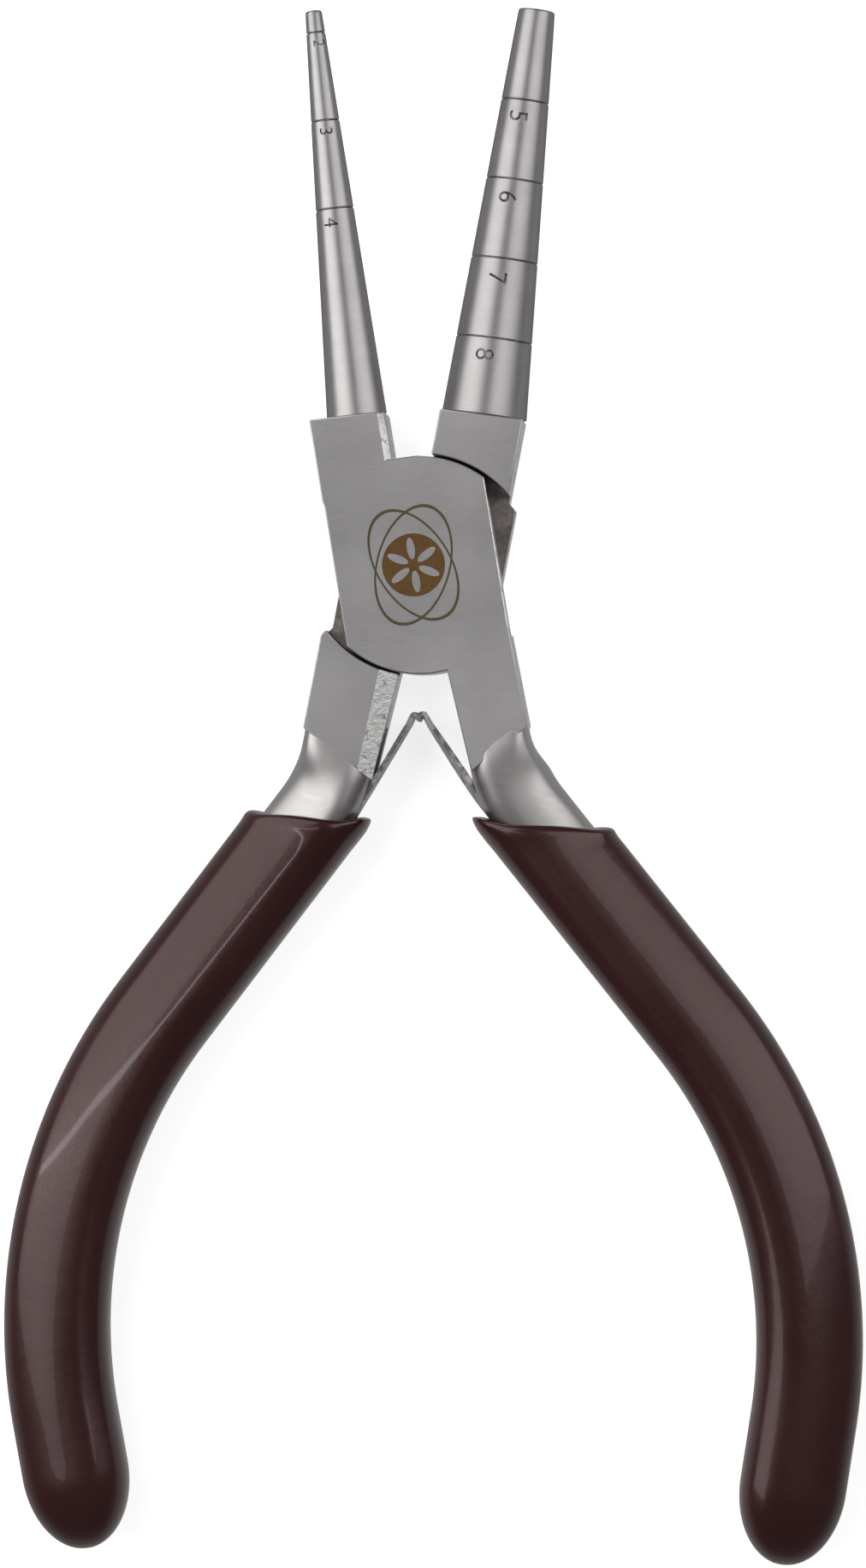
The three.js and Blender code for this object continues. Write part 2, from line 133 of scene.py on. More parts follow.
back = SimpleNamespace(
    name="back", body="back_body", leaf_body="left_leaf", hand="left",
    side=1, open=radians(-10.8), layer=-1, contact=-1.0, block_out=7.8, block_end_y=8.2,
    plate_out=8.6, plate_in=8.05,
    neck_out_top=8.8, neck_out=8.8, neck_in=0.1, neck_in_low=0.75, neck_end_y=-19.0,
    tang_out=4.775, bend_y=-24.4, handle_angle=radians(26.5),
    arch_start_y=-51.1, arch_radius=54.7, arch_turn=radians(47.5), end_length=8.5,
    grip_top_y=-28.2, grip_top_tilt=radians(4),
    leaf_foot_y=-26.7, leaf_twist=radians(1), crown_lead=1.4, shank_lean=0.3,
    tip=1.925, base=4.48, spigot=3.0, marks=(2.5, 3.0, 3.5, 4.0),
    numerals=(
        ("5", 1.9, 1.8, -0.45), ("6", 1.9, 1.98, -0.45), ("7", 1.9, 2.1, -0.4), ("8", 1.9, 1.85, -0.7),
    ),
)

# Material slots of a steel half, in this order.
FACE, CAST, SHANK, FILL, LINE, LAP = range(6)


# ---------------------------------------------------------------- mesh helpers

def new_object(name, bm):
    """A scene object with the finished bmesh, still in millimetres."""
    mesh = bpy.data.meshes.new(name)
    bm.to_mesh(mesh)
    bm.free()
    obj = bpy.data.objects.new(name, mesh)
    bpy.context.scene.collection.objects.link(obj)
    return obj


def baked_mesh(obj):
    graph = bpy.context.evaluated_depsgraph_get()
    graph.update()
    return bpy.data.meshes.new_from_object(obj.evaluated_get(graph))


def combine(target, other, operation):
    """Cuts, joins or intersects the target with another object, which is used up."""
    step = target.modifiers.new(operation, "BOOLEAN")
    step.operation = operation
    step.solver = "EXACT"
    step.object = other
    mesh = baked_mesh(target)
    if len(mesh.polygons) < len(target.data.polygons) / 2:
        raise RuntimeError("the " + operation + " of " + other.name + " lost most of " + target.name)
    target.modifiers.remove(step)
    target.data = mesh
    bpy.data.objects.remove(other)
    return target


def close_up(bm, distance=1e-4):
    bmesh.ops.remove_doubles(bm, verts=bm.verts, dist=distance)
    bmesh.ops.recalc_face_normals(bm, faces=bm.faces)


def put_in_place(obj, half=None):
    """Turns a piece from the closed drawing to its place at rest, in metres."""
    turn = Matrix.Rotation(half.open, 4, "Z") if half else Matrix.Identity(4)
    obj.data.transform(Matrix.Scale(MM, 4) @ turn)
    obj.data.update()


def smooth(obj, angle, flat_slot=None):
    """Smooth shading across soft edges; large faces in the flat slot stay flat."""
    for polygon in obj.data.polygons:
        polygon.use_smooth = True
    obj.data.set_sharp_from_angle(angle=radians(angle))
    for polygon in obj.data.polygons:
        if polygon.material_index == flat_slot and abs(polygon.normal.z) > 0.99:
            polygon.use_smooth = False


def finish_piece(obj, name, body, materials, replaced=()):
    obj.name = name
    for index, material in enumerate(materials):
        if index < len(obj.data.materials):
            obj.data.materials[index] = material
        else:
            obj.data.materials.append(material)
    if body:
        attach(obj, body)
    if replaced:
        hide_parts(*replaced)
    return obj


def prism(outline, low, high):
    """A plate with the outline of the plan points, between two heights."""
    bm = bmesh.new()
    corners = [bm.verts.new((x, y, low)) for x, y in outline]
    face = bm.faces.new(corners)
    grown = bmesh.ops.extrude_face_region(bm, geom=[face])
    moved = [item for item in grown["geom"] if isinstance(item, bmesh.types.BMVert)]
    bmesh.ops.translate(bm, vec=(0, 0, high - low), verts=moved)
    close_up(bm)
    return bm


def turned(profile, steps, axis=(0, 0, 1)):
    """A closed shape spun from (radius, height) points about Z or about Y."""
    bm = bmesh.new()
    upright = axis[2] == 1
    points = [bm.verts.new((r, 0, h) if upright else (r, h, 0)) for r, h in profile]
    edges = [bm.edges.new(pair) for pair in zip(points, points[1:])]
    bmesh.ops.spin(
        bm, geom=points + edges, cent=(0, 0, 0), axis=axis, angle=2 * pi, steps=steps, use_merge=True,
    )
    close_up(bm)
    return bm


def tube(stations, around, place):
    """A grid wrapped round into a tube: place(station, angle) gives each point."""
    bm = bmesh.new()
    bmesh.ops.create_grid(bm, x_segments=stations, y_segments=around, size=0.5)
    for vert in bm.verts:
        station = round((vert.co.x + 0.5) * stations)
        vert.co = place(station, 2 * pi * (vert.co.y + 0.5))
    bmesh.ops.remove_doubles(bm, verts=bm.verts, dist=1e-4)
    bmesh.ops.holes_fill(bm, edges=[edge for edge in bm.edges if edge.is_boundary], sides=0)
    bmesh.ops.recalc_face_normals(bm, faces=bm.faces)
    return bm


def soften(bm, width, angle):
    """A small round along every edge sharper than the angle."""
    bmesh.ops.dissolve_degenerate(bm, dist=0.02, edges=bm.edges)
    edges = [edge for edge in bm.edges if edge.calc_face_angle(0) > radians(angle)]
    bmesh.ops.bevel(
        bm, geom=edges, offset=width, offset_type="OFFSET", affect="EDGES", segments=2,
        profile=0.5, material=-1, clamp_overlap=False,
    )


def signed_power(value, power):
    return abs(value) ** power * (1 if value >= 0 else -1)


def ease(value):
    """0 below 0, 1 above 1, and a smooth step between."""
    held = min(max(value, 0), 1)
    return held * held * (3 - 2 * held)


def ramp(distance, lead, run):
    """A smooth step that starts the lead before zero and takes the run."""
    return ease((distance + lead) / run)


# ---------------------------------------------------------------- handle line

class HandleLine:
    """The middle line of a neck, shank and tang, by distance from its start."""

    def __init__(self, half):
        bend = NECK_BEND_RADIUS * tan(half.handle_angle / 2)
        slope = (half.bend_y - half.arch_start_y) / cos(half.handle_angle)
        self.half = half
        self.start_out = -half.tang_out
        self.stretches = (
            (TANG_START_Y - half.bend_y - bend, 0),
            (NECK_BEND_RADIUS * half.handle_angle, half.handle_angle),
            (slope - bend, 0),
            (half.arch_radius * half.arch_turn, -half.arch_turn),
            (half.end_length, 0),
        )
        self.length = sum(length for length, _ in self.stretches)

    def walk(self, distance):
        out = self.start_out
        y = TANG_START_Y
        heading = 0
        left = distance
        last = len(self.stretches) - 1
        for index, (length, turn) in enumerate(self.stretches):
            part = left if index == last else min(left, length)
            if turn == 0:
                out -= part * sin(heading)
                y -= part * cos(heading)
            else:
                radius = length / turn
                ahead = heading + part / radius
                out += radius * (cos(ahead) - cos(heading))
                y -= radius * (sin(ahead) - sin(heading))
                heading = ahead
            left -= part
            if left <= 0:
                break
        return out, y, heading

    def distance_at(self, y):
        distance = 0
        for _ in range(30):
            _, here, heading = self.walk(distance)
            distance += (here - y) / cos(heading)
        return distance

    def beside(self, distance, offset):
        """A plan point beside the line, towards the other handle, and the directions there."""
        out, y, heading = self.walk(distance)
        side = self.half.side
        along = Vector((-side * sin(heading), -cos(heading)))
        inward = Vector((side * cos(heading), -sin(heading)))
        return Vector((side * out, y)) + inward * offset, along, inward


# ---------------------------------------------------------------- steel halves

ARC_POINTS = 40
EDGE_ROUND = 0.13
EDGE_ROUND_ANGLE = 40

# How far a cutter stands past the face that it opens.
CUT_PAST = 1
SLOPE_CUT_PAST = 3.0

BLOCK_SLOPE_WIDTH = 0.8
BLOCK_SLOPE_DEPTH = 0.6
BLOCK_SLOPE_START_Y = 11.35
BLOCK_SLOPE_END_Y = 18.0

NECK_SLOPE_WIDTH = 2.0
NECK_SLOPE_DEPTH = 0.8
NECK_SLOPE_NARROWING = 0.9
NECK_SLOPE_START_GAP = 0.1
NECK_SLOPE_PAST_NECK = 8


def arc_across(radius, from_out, to_out, up):
    start = acos(from_out / radius)
    end = acos(to_out / radius)
    angles = [start + (end - start) * i / ARC_POINTS for i in range(ARC_POINTS + 1)]
    return [(radius * cos(angle), up * radius * sin(angle)) for angle in angles]


def jaw_inner(half):
    return half.contact + CLOSED_JAW_GAP / 2


def mandrel_axis(half):
    tilt = asin((half.base - half.tip) / MANDREL_LENGTH)
    direction = Vector((-half.side * sin(tilt), cos(tilt)))
    out = jaw_inner(half) + half.base * cos(tilt)
    seat = Vector((half.side * out, MANDREL_SEAT_Y + half.base * sin(tilt)))
    return seat, direction, tilt


def half_outline(half):
    inner = jaw_inner(half)
    tilt = mandrel_axis(half)[2]
    block_top = MANDREL_SEAT_Y - MANDREL_SEAT_GAP
    neck_top_y = -sqrt(PLATE_RADIUS ** 2 - half.plate_in ** 2)
    drop = (half.neck_out - half.neck_in_low) * tan(half.handle_angle)
    points = [
        (inner, block_top),
        (half.block_out, block_top + (half.block_out - inner) * tan(tilt)),
        (half.block_out, half.block_end_y),
        (half.plate_out, half.block_end_y - BLOCK_STEP),
        *arc_across(PLATE_RADIUS, half.plate_out, -half.neck_in, -1),
        (-half.neck_in_low, half.neck_end_y - drop),
        (-half.neck_out, half.neck_end_y),
        (-half.neck_out_top, neck_top_y - NECK_STEP),
        (-half.plate_in, neck_top_y),
        *arc_across(PLATE_RADIUS, -half.plate_in, inner, 1),
    ]
    return [(half.side * out, y) for out, y in points]


def slope_cutter(half, start, end, wide_start, wide_end, deep):
    """A wedge that leaves a ground slope along a top edge, from one (out, y) point to another."""
    bm = bmesh.new()
    rows = []
    top = JOINT_THICKNESS + CUT_PAST
    for (out, y), wide in ((start, wide_start), (end, wide_end)):
        past = out + SLOPE_CUT_PAST
        section = (
            (out - wide, JOINT_THICKNESS),
            (out, JOINT_THICKNESS - deep),
            (past, JOINT_THICKNESS - deep * (1 + SLOPE_CUT_PAST / wide)),
            (past, top),
            (out - wide, top),
        )
        if half is front:
            section = [(2 * out - at, z) for at, z in section]
        rows.append([bm.verts.new((half.side * at, y, z)) for at, z in section])
    loops = []
    for row in rows:
        face = bm.faces.new(row)
        loops += list(face.edges)
    bmesh.ops.bridge_loops(bm, edges=loops)
    close_up(bm)
    return new_object("slope_cutter", bm)


def plate_blank(half):
    """The flat, milled part of a half: jaw block, joint plate and neck."""
    obj = new_object(half.name + "_blank", prism(half_outline(half), 0, JOINT_THICKNESS))
    if half is front:
        inner = jaw_inner(half)
        start = (inner, BLOCK_SLOPE_START_Y)
        end = (inner, BLOCK_SLOPE_END_Y)
        width = BLOCK_SLOPE_WIDTH
        combine(obj, slope_cutter(half, start, end, width, width, BLOCK_SLOPE_DEPTH), "DIFFERENCE")
    return obj


def neck_slope_cutter(half, slots):
    """The rough ground slope down the inner side of the back half's neck and shank."""
    top = (-half.neck_in, -PLATE_RADIUS - NECK_SLOPE_START_GAP)
    low = (-half.neck_in_low, half.neck_end_y - NECK_SLOPE_PAST_NECK)
    low_width = NECK_SLOPE_WIDTH * NECK_SLOPE_NARROWING
    cutter = slope_cutter(half, top, low, NECK_SLOPE_WIDTH, low_width, NECK_SLOPE_DEPTH)
    add_slots(cutter, slots)
    for polygon in cutter.data.polygons:
        polygon.material_index = CAST
    return cutter


def lap_cutter(half):
    """What is milled off a half to let the other half's plate lie over or under its own."""
    depth = MID_Z + LAP_GAP / 2 + CUT_PAST
    bm = bmesh.new()
    bmesh.ops.create_cone(
        bm, cap_ends=True, segments=128, radius1=SHOULDER_RADIUS, radius2=SHOULDER_RADIUS, depth=depth,
    )
    bmesh.ops.scale(bm, vec=(SHOULDER_SPREAD, 1, 1), verts=bm.verts)
    top = MID_Z + LAP_GAP / 2
    bottom = MID_Z - LAP_GAP / 2
    middle = top - depth / 2 if half.layer > 0 else bottom + depth / 2
    bmesh.ops.translate(bm, vec=(0, 0, middle), verts=bm.verts)
    return new_object("lap_cutter", bm)


def rivet_cutter(half):
    """The rivet's hole: blind in the front half, countersunk at the back half's face."""
    shaft = RIVET_RADIUS + RIVET_CLEARANCE
    head = RIVET_HEAD_RADIUS + RIVET_CLEARANCE
    if half is front:
        top = RIVET_BLIND_Z + RIVET_END_GAP
        profile = [(0, -CUT_PAST), (shaft, -CUT_PAST), (shaft, top), (0, top)]
    else:
        top = JOINT_THICKNESS + CUT_PAST
        profile = [
            (0, -CUT_PAST), (head, -CUT_PAST), (head, 0),
            (shaft, RIVET_HEAD_DEPTH), (shaft, top), (0, top),
        ]
    return new_object("rivet_cutter", turned(profile, 64))


SHANK_STATIONS = 46
SHANK_AROUND = 56
SHANK_LEAD = 4.0
SHANK_SHOWN = 20.0
SHANK_SHOWN_SHARE = 0.6
SHANK_INSIDE_NECK = 0.1

# The section's power falls from nearly square in the neck to round, over the ramp (lead, run).
SHANK_POWER = 6.0
SHANK_POWER_FALL = 3.2
SHANK_POWER_RAMP = (3.0, 7)
SHANK_WIDTH_RAMP = (1.5, 6)
SHANK_LEAN_RAMP = (-0.5, 5)

# Half of the thickness: below the flat inside the neck, crowned past it, then thinner to the tang.
CROWN_LOW = 4.58
CROWN_RISE = 0.3
CROWN_RUN = 2.6
SHANK_THINNING = 1.28
SHANK_THINNING_RAMP = (1.0, 13.0)


def shank_bar(half):
    """Round bar from inside the neck to the tang's end, crowned where it leaves the flat."""
    line = HandleLine(half)
    chord_out = -(half.neck_out + half.neck_in_low) / 2
    drop = (half.neck_out - half.neck_in_low) * tan(half.handle_angle)
    chord_y = half.neck_end_y - drop / 2
    chord = Vector((half.side * chord_out, chord_y))
    heading = half.handle_angle
    down = Vector((-half.side * sin(heading), -cos(heading)))
    start = line.distance_at(chord_y) - SHANK_LEAD
    end = line.length - GRIP_END_WALL
    neck_half = (half.neck_out - half.neck_in_low) / 2 - SHANK_INSIDE_NECK

    def distance_of(station):
        # More than half of the stations lie in the part that shows.
        share = station / SHANK_STATIONS
        if share < SHANK_SHOWN_SHARE:
            return start + SHANK_SHOWN * share / SHANK_SHOWN_SHARE
        hidden = end - start - SHANK_SHOWN
        return start + SHANK_SHOWN + hidden * (share - SHANK_SHOWN_SHARE) / (1 - SHANK_SHOWN_SHARE)

    def place(station, angle):
        distance = distance_of(station)
        middle, _, inward = line.beside(distance, 0)
        past = distance - line.distance_at(chord_y)
        power = SHANK_POWER - SHANK_POWER_FALL * ramp(past, *SHANK_POWER_RAMP)
        clear = ramp(past, *SHANK_WIDTH_RAMP)
        half_width = neck_half + (TANG_WIDTH / 2 - neck_half) * clear
        u = half_width * signed_power(cos(angle), 2 / power)
        u += (half.tang_out + chord_out) * (1 - clear)
        spot = middle + inward * u
        beyond = (spot - chord).dot(down)
        rise = CROWN_LOW + CROWN_RISE * ramp(beyond, half.crown_lead, CROWN_RUN)
        thick = rise - SHANK_THINNING * ramp(beyond, *SHANK_THINNING_RAMP)
        z = thick * signed_power(sin(angle), 2 / power)
        z += half.shank_lean * u * max(0, sin(angle)) * ramp(past, *SHANK_LEAN_RAMP)
        return Vector((spot.x, spot.y, MID_Z + z))

    bm = tube(SHANK_STATIONS, SHANK_AROUND, place)
    for face in bm.faces:
        face.material_index = SHANK
    return new_object("shank_bar", bm)


def leaf_seat_cutter(half, line):
    """The flat that the spring's foot lies on and the groove that the blade folds into."""
    start, offset = leaf_foot(half, line)
    under = -LEAF_THICKNESS / 2 - LEAF_GAP
    foot, _, _ = line.beside(start + LEAF_FOOT_LENGTH + LEAF_GAP, offset + under)
    bend, _, inward = line.beside(start, offset + under)
    at_bend = line.beside(start, offset)[0]
    groove = bend + (leaf_closed_tip(half, line) - at_bend).normalized() * LEAF_GROOVE_LENGTH
    reach = inward * LEAF_GROOVE_LENGTH
    outline = [foot, bend, groove, groove + reach, foot + reach]
    width = LEAF_WIDTH + 2 * LEAF_GAP
    bm = prism([(p.x, p.y) for p in outline], MID_Z - width / 2, MID_Z + width / 2)
    return new_object("leaf_seat_cutter", bm)


# How upright a face's normal is, from 0 for a side to 1 for a level face, and the lap's reach.
LEVEL = 0.97
LAP_LEVEL = 0.9
SIDE = 0.35
LAP_REACH = SHOULDER_RADIUS + 0.6
LAP_HEIGHT = 0.4
LARGE_FACE = 1.5


def mark_faces(obj):
    """Flat milled faces, rough forged sides, lapped faces and bright edges each take their slot."""
    for polygon in obj.data.polygons:
        if polygon.material_index == SHANK:
            continue
        upright = abs(polygon.normal.z)
        centre = polygon.center
        hidden = hypot(centre.x, centre.y) < LAP_REACH
        outward = centre.x * polygon.normal.x + centre.y * polygon.normal.y
        # The lap's floor and inner walls take the dark lap material, painted recess shade.
        if hidden and upright > LAP_LEVEL and abs(centre.z - MID_Z) < LAP_HEIGHT:
            polygon.material_index = LAP
        elif hidden and upright < SIDE and outward < 0:
            polygon.material_index = LAP
        elif upright > LEVEL:
            polygon.material_index = FACE
        elif upright < SIDE or polygon.area > LARGE_FACE:
            polygon.material_index = CAST
        else:
            polygon.material_index = SHANK


def add_slots(obj, count):
    """Empty slots, so that the faces keep their numbers through every cut."""
    while len(obj.data.materials) < count:
        obj.data.materials.append(None)


def steel_half(half, materials):
    line = HandleLine(half)
    obj = plate_blank(half)
    add_slots(obj, len(materials))
    combine(obj, lap_cutter(half), "DIFFERENCE")
    combine(obj, rivet_cutter(half), "DIFFERENCE")
    bm = bmesh.new()
    bm.from_mesh(obj.data)
    soften(bm, EDGE_ROUND, EDGE_ROUND_ANGLE)
    bm.to_mesh(obj.data)
    bm.free()
    mark_faces(obj)
    bar = shank_bar(half)
    add_slots(bar, len(materials))
    combine(obj, bar, "UNION")
    if half is back:
        combine(obj, neck_slope_cutter(half, len(materials)), "DIFFERENCE")
    combine(obj, leaf_seat_cutter(half, line), "DIFFERENCE")
    if half is front:
        for cutter in ornament_cutters(len(materials)):
            combine(obj, cutter, "DIFFERENCE")
    smooth(obj, 28, FACE)
    put_in_place(obj, half)
    return finish_piece(
        obj, half.name + "_half_steel", half.body, materials, [half.name + "_half"],
    )


# ---------------------------------------------------------------- ornament on the front plate

ORNAMENT_AT = (-0.6, 0.1)
ORNAMENT_DEPTH = 0.06
ROSETTE_RADIUS = 3.3
PETALS = 6
PETAL_RADII = (0.42, 1.15)
PETAL_OUT = 1.75
OVAL_RADII = (3.9, 6.5)
OVAL_LINE = 0.2
OVAL_TURN = radians(24)


def etched_slab(radius_x, radius_y, at=(0, 0), turn=0, segments=64):
    bm = bmesh.new()
    bmesh.ops.create_cone(
        bm, cap_ends=True, segments=segments, radius1=1, radius2=1, depth=2 * ORNAMENT_DEPTH,
    )
    bmesh.ops.scale(bm, vec=(radius_x, radius_y, 1), verts=bm.verts)
    bmesh.ops.translate(bm, vec=(at[0], at[1], 0), verts=bm.verts)
    bmesh.ops.rotate(bm, cent=(0, 0, 0), matrix=Matrix.Rotation(turn, 3, "Z"), verts=bm.verts)
    return bm


def etched_ring(radius_x, radius_y, width):
    low = -ORNAMENT_DEPTH
    high = ORNAMENT_DEPTH
    inner = 1 - width / radius_x
    profile = [(inner, low), (1, low), (1, high), (inner, high), (inner, low)]
    bm = turned(profile, 96)
    bmesh.ops.scale(bm, vec=(radius_x, radius_y, 1), verts=bm.verts)
    return bm


def at_ornament(bm, index, slots):
    for face in bm.faces:
        face.material_index = index
    bmesh.ops.translate(bm, vec=(*ORNAMENT_AT, JOINT_THICKNESS), verts=bm.verts)
    obj = new_object("ornament_cutter", bm)
    add_slots(obj, slots)
    return obj


def ornament_cutters(slots):
    """A plain six-petalled rosette inside two thin crossed ovals."""
    rosette = at_ornament(etched_slab(ROSETTE_RADIUS, ROSETTE_RADIUS), FILL, slots)
    for petal in range(PETALS):
        turn = 2 * pi * petal / PETALS
        bm = etched_slab(*PETAL_RADII, at=(0, PETAL_OUT), turn=turn, segments=32)
        # Deeper than the rosette, so that the petal is left standing at full height.
        bmesh.ops.scale(bm, vec=(1, 1, 3), verts=bm.verts)
        combine(rosette, at_ornament(bm, FILL, slots), "DIFFERENCE")
    cutters = [rosette]
    for turn in (-OVAL_TURN, OVAL_TURN):
        oval = etched_ring(*OVAL_RADII, OVAL_LINE)
        bmesh.ops.rotate(oval, cent=(0, 0, 0), matrix=Matrix.Rotation(turn, 3, "Z"), verts=oval.verts)
        cutters.append(at_ornament(oval, LINE, slots))
    return cutters


# ---------------------------------------------------------------- rivet

def pivot_rivet(materials):
    profile = [
        (0, 0.0), (3.2, 0.0), (RIVET_HEAD_RADIUS - 0.12, 0.04), (RIVET_HEAD_RADIUS, 0.14),
        (RIVET_RADIUS, RIVET_HEAD_DEPTH), (RIVET_RADIUS, RIVET_BLIND_Z - 0.3),
        (RIVET_RADIUS - 0.3, RIVET_BLIND_Z), (0, RIVET_BLIND_Z),
    ]
    obj = new_object("rivet", turned(profile, 64))
    smooth(obj, 30)
    put_in_place(obj)
    return finish_piece(
        obj, "pivot_rivet_steel", "front_body", materials, ["pivot_rivet"],
    )


# ---------------------------------------------------------------- mandrels

NUMERAL_DEPTH = 0.07
NUMERAL_THINNING = -0.008
MANDREL_BASE_ROUND = 0.12
BUILT_IN_DIGIT_HEIGHT = 0.69
CONE_STEPS = 26


def cone_radius(half, y):
    return half.base + (half.tip - half.base) * y / MANDREL_LENGTH


def mandrel_profile(half):
    """Spigot, base, cone with a groove at each marked radius, and a rounded tip."""
    cone = [(cone_radius(half, MANDREL_LENGTH * i / CONE_STEPS), MANDREL_LENGTH * i / CONE_STEPS)
            for i in range(1, CONE_STEPS)]
    for radius in half.marks:
        y = MANDREL_LENGTH * (half.base - radius) / (half.base - half.tip)
        cone = [(r, at) for r, at in cone if abs(at - y) > MARK_WIDTH]
        for shift, depth in ((-0.5, 0), (-0.12, MARK_DEPTH), (0.12, MARK_DEPTH), (0.5, 0)):
            at = y + shift * MARK_WIDTH
            cone.append((cone_radius(half, at) - depth, at))
    cone.sort(key=lambda point: point[1])
    cone = [point for point in cone if point[1] < MANDREL_LENGTH - TIP_ROUND]
    rounded = []
    for i in range(6):
        angle = pi / 2 * i / 5
        radius = half.tip - TIP_ROUND + TIP_ROUND * cos(angle)
        rounded.append((radius, MANDREL_LENGTH - TIP_ROUND + TIP_ROUND * sin(angle)))
    start = [(0, -SPIGOT_LENGTH), (half.spigot, -SPIGOT_LENGTH), (half.spigot, 0)]
    start += [(half.base - MANDREL_BASE_ROUND, 0), (half.base, 0.1)]
    return start + cone + rounded + [(0, MANDREL_LENGTH)]


def numeral_cutter(half):
    """The numerals, as thick as the engraving is deep, on the mandrel's upper side."""
    cutter = None
    marks = sorted(half.marks)
    for radius, (digit, height, below, shift) in zip(marks, half.numerals):
        y = MANDREL_LENGTH * (half.base - radius) / (half.base - half.tip) - below
        curve = bpy.data.curves.new("numeral", "FONT")
        curve.body = digit
        curve.align_x = "CENTER"
        curve.align_y = "CENTER"
        curve.size = height / BUILT_IN_DIGIT_HEIGHT
        curve.extrude = half.base
        curve.resolution_u = 6
        curve.offset = NUMERAL_THINNING
        text = bpy.data.objects.new("numeral", curve)
        bpy.context.scene.collection.objects.link(text)
        mesh = baked_mesh(text)
        bpy.data.objects.remove(text)
        mesh.transform(Matrix.Translation((shift, y, half.base)) @ Matrix.Rotation(-pi / 2, 4, "Z"))
        bm = bmesh.new()
        bm.from_mesh(mesh)
        close_up(bm)
        piece = new_object("numeral", bm)
        cutter = combine(cutter, piece, "UNION") if cutter else piece
    reach = MANDREL_LENGTH + 1
    core = [
        (0, -1), (cone_radius(half, -1) - NUMERAL_DEPTH, -1),
        (cone_radius(half, reach) - NUMERAL_DEPTH, reach), (0, reach),
    ]
    combine(cutter, new_object("core", turned(core, 96, (0, 1, 0))), "DIFFERENCE")
    add_slots(cutter, 2)
    for polygon in cutter.data.polygons:
        polygon.material_index = 1
    return cutter


def mark_grooves(obj, half):
    """The floor of each ring takes the dark engraved material, painted groove shade."""
    places = [MANDREL_LENGTH * (half.base - r) / (half.base - half.tip) for r in half.marks]
    for polygon in obj.data.polygons:
        near = min(abs(polygon.center.y - y) for y in places)
        polygon.material_index = 1 if near < MARK_WIDTH * 0.1 else 0


def mandrel(half, name, replaced, materials):
    obj = new_object(name, turned(mandrel_profile(half), 96, (0, 1, 0)))
    add_slots(obj, len(materials))
    mark_grooves(obj, half)
    combine(obj, numeral_cutter(half), "DIFFERENCE")
    smooth(obj, 30)
    seat, direction, _ = mandrel_axis(half)
    lean = Matrix.Rotation(atan2(-direction.x, direction.y), 4, "Z")
    obj.data.transform(Matrix.Translation((seat.x, seat.y, MID_Z)) @ lean)
    put_in_place(obj, half)
    return finish_piece(obj, name, half.body, materials, [replaced])


# ---------------------------------------------------------------- dipped grips

GRIP_AROUND = 72
GRIP_BODY_STATIONS = 58
GRIP_END_STATIONS = 18
MOUTH_FADE = 15.0
LIP_SWELL = 0.16

# The lip's waviness: height, waves round the grip and phase of each wave, and how far it reaches.
LIP_WAVES = ((0.1, 3, 0.7), (0.07, 5, 2.1))
LIP_WAVE_REACH = 2.5


def grip_section(inset, angle):
    """A point on the grip's rounded, slightly crowned section, inset from its full size."""
    u = (GRIP_WIDTH / 2 - inset) * signed_power(cos(angle), GRIP_FULLNESS)
    z = (GRIP_THICKNESS / 2 - inset) * signed_power(sin(angle), GRIP_FULLNESS)
    return u, z + GRIP_LEAN * u * max(0, sin(angle))


def grip_stations(line, half):
    """Pairs of distance and inset, from inside the mouth, over the lip, to the rounded end."""
    top = line.distance_at(half.grip_top_y)
    wall = GRIP_WALL - GRIP_CLEARANCE
    inside = [(6, wall), (2, wall), (0.35, wall), (0.1, wall - 0.12), (0, wall - 0.4)]
    outside = [
        (0, 0.42), (0.06, 0.2), (0.2, 0.05), (0.45, -0.04),
        (0.9, -LIP_SWELL * 0.6), (1.5, -LIP_SWELL * 0.3), (2.4, 0.0), (4, 0.0),
    ]
    stations = [(top + past, inset) for past, inset in inside + outside]
    first = top + 6
    last = line.length + GRIP_WIDTH / 2 - GRIP_END_ROUND
    for i in range(GRIP_BODY_STATIONS + 1):
        stations.append((first + (last - first) * i / GRIP_BODY_STATIONS, 0.0))
    for i in range(1, GRIP_END_STATIONS + 1):
        angle = pi / 2 * i / GRIP_END_STATIONS
        stations.append((last + GRIP_END_ROUND * sin(angle), GRIP_WIDTH / 2 * (1 - cos(angle))))
    return top, last, stations


def grip(half, materials):
    line = HandleLine(half)
    top, last, stations = grip_stations(line, half)
    heading = line.walk(top)[2]
    shear = tan(heading + half.grip_top_tilt)

    def place(station, angle):
        distance, inset = stations[station]
        if distance > last:
            u, z = grip_section(0, angle)
            share = 1 - inset / (GRIP_WIDTH / 2)
            u *= share
            z *= share
        else:
            u, z = grip_section(inset, angle)
        away = min(max((distance - top) / MOUTH_FADE, 0), 1)
        lean = -u * shear * (1 - away) ** 2
        ripple = sum(size * sin(waves * angle + phase) for size, waves, phase in LIP_WAVES)
        lip = ripple * max(0, 1 - abs(distance - top) / LIP_WAVE_REACH)
        spot, _, inward = line.beside(distance + lean + lip, 0)
        spot += inward * u
        return Vector((spot.x, spot.y, MID_Z + z))

    obj = new_object(half.hand + "_grip", tube(len(stations) - 1, GRIP_AROUND, place))
    smooth(obj, 45)
    put_in_place(obj, half)
    return finish_piece(
        obj, half.hand + "_grip_vinyl", half.body, materials, [half.hand + "_grip"],
    )


# ---------------------------------------------------------------- leaf springs

LEAF_CURL = 0.1
LEAF_ACROSS = 8
LEAF_BEND_ROUND = 1.6
LEAF_CURL_SWEEP = 1.2 * pi


def leaf_foot(half, line):
    start = line.distance_at(half.leaf_foot_y)
    offset = TANG_WIDTH / 2 - LEAF_SEAT_DEPTH + LEAF_GAP + LEAF_THICKNESS / 2
    return start, offset


